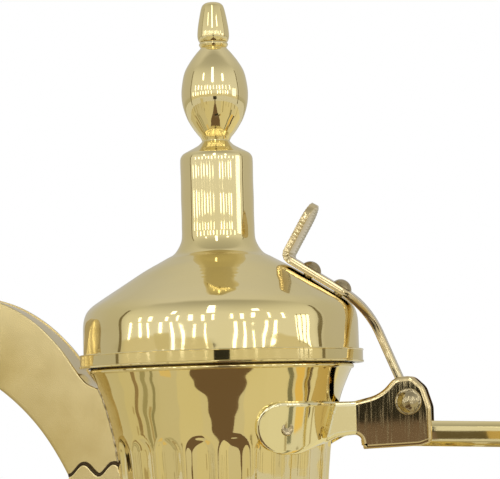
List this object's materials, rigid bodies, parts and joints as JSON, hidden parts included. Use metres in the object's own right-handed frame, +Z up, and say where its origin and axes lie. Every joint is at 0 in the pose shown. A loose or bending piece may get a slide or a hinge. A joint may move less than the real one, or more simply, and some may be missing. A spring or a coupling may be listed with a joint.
{
  "type": "coffee pot",
  "caption": "Fluted brass coffee pot with a curved beak spout, a bar handle and a hinged domed lid with a tall turned finial and thumb strap.",
  "frame": {"origin": "centre of the flat base, on the axis of the pot, at table level", "axes": "+Z up along the pot's axis, +X towards the handle, -X towards the spout"},
  "size_m": [0.2525, 0.1344, 0.3088],
  "materials": {
    "polished_brass": "mirror polished, pale gold",
    "brushed_brass": "polished over vertical brush marks",
    "rivet_brass": "hand worked, slightly dull",
    "dull_brass": "unpolished"
  },
  "bodies": {
    "pot": {"belly": "polished_brass", "base_disc": "dull_brass", "foot_ring": "polished_brass", "waist_ring": "polished_brass", "neck": "polished_brass", "mouth_ring": "polished_brass", "spout_cheek_front": "polished_brass", "spout_cheek_rear": "polished_brass", "spout_cover": "polished_brass", "spout_floor": "polished_brass", "spout_shield_front": "polished_brass", "spout_shield_rear": "polished_brass", "bracket_front": "brushed_brass", "bracket_rear": "brushed_brass", "bracket_rivet_front": "rivet_brass", "bracket_rivet_rear": "rivet_brass", "hinge_pin": "rivet_brass", "pin_washer_front": "rivet_brass", "pin_washer_rear": "rivet_brass", "handle_bar": "polished_brass", "handle_foot": "polished_brass", "handle_rivet_upper": "rivet_brass", "handle_rivet_lower": "rivet_brass"},
    "lid": {"lid_dome": "polished_brass", "lid_band": "polished_brass", "lid_sleeve": "dull_brass", "finial_drum": "polished_brass", "finial_shoulder": "polished_brass", "finial_egg": "polished_brass", "finial_collar": "polished_brass", "finial_cap": "polished_brass", "finial_rod": "dull_brass", "finial_nut": "dull_brass", "thumb_strap": "polished_brass", "strap_rivet_upper": "rivet_brass", "strap_rivet_lower": "rivet_brass"}
  },
  "joints": [
    {"name": "lid_hinge", "type": "hinge", "parent": "pot", "child": "lid", "pos_m": [0.0626, 0, 0.1727], "axis": [0, 1, 0], "range_deg": [0, 110]}
  ]
}
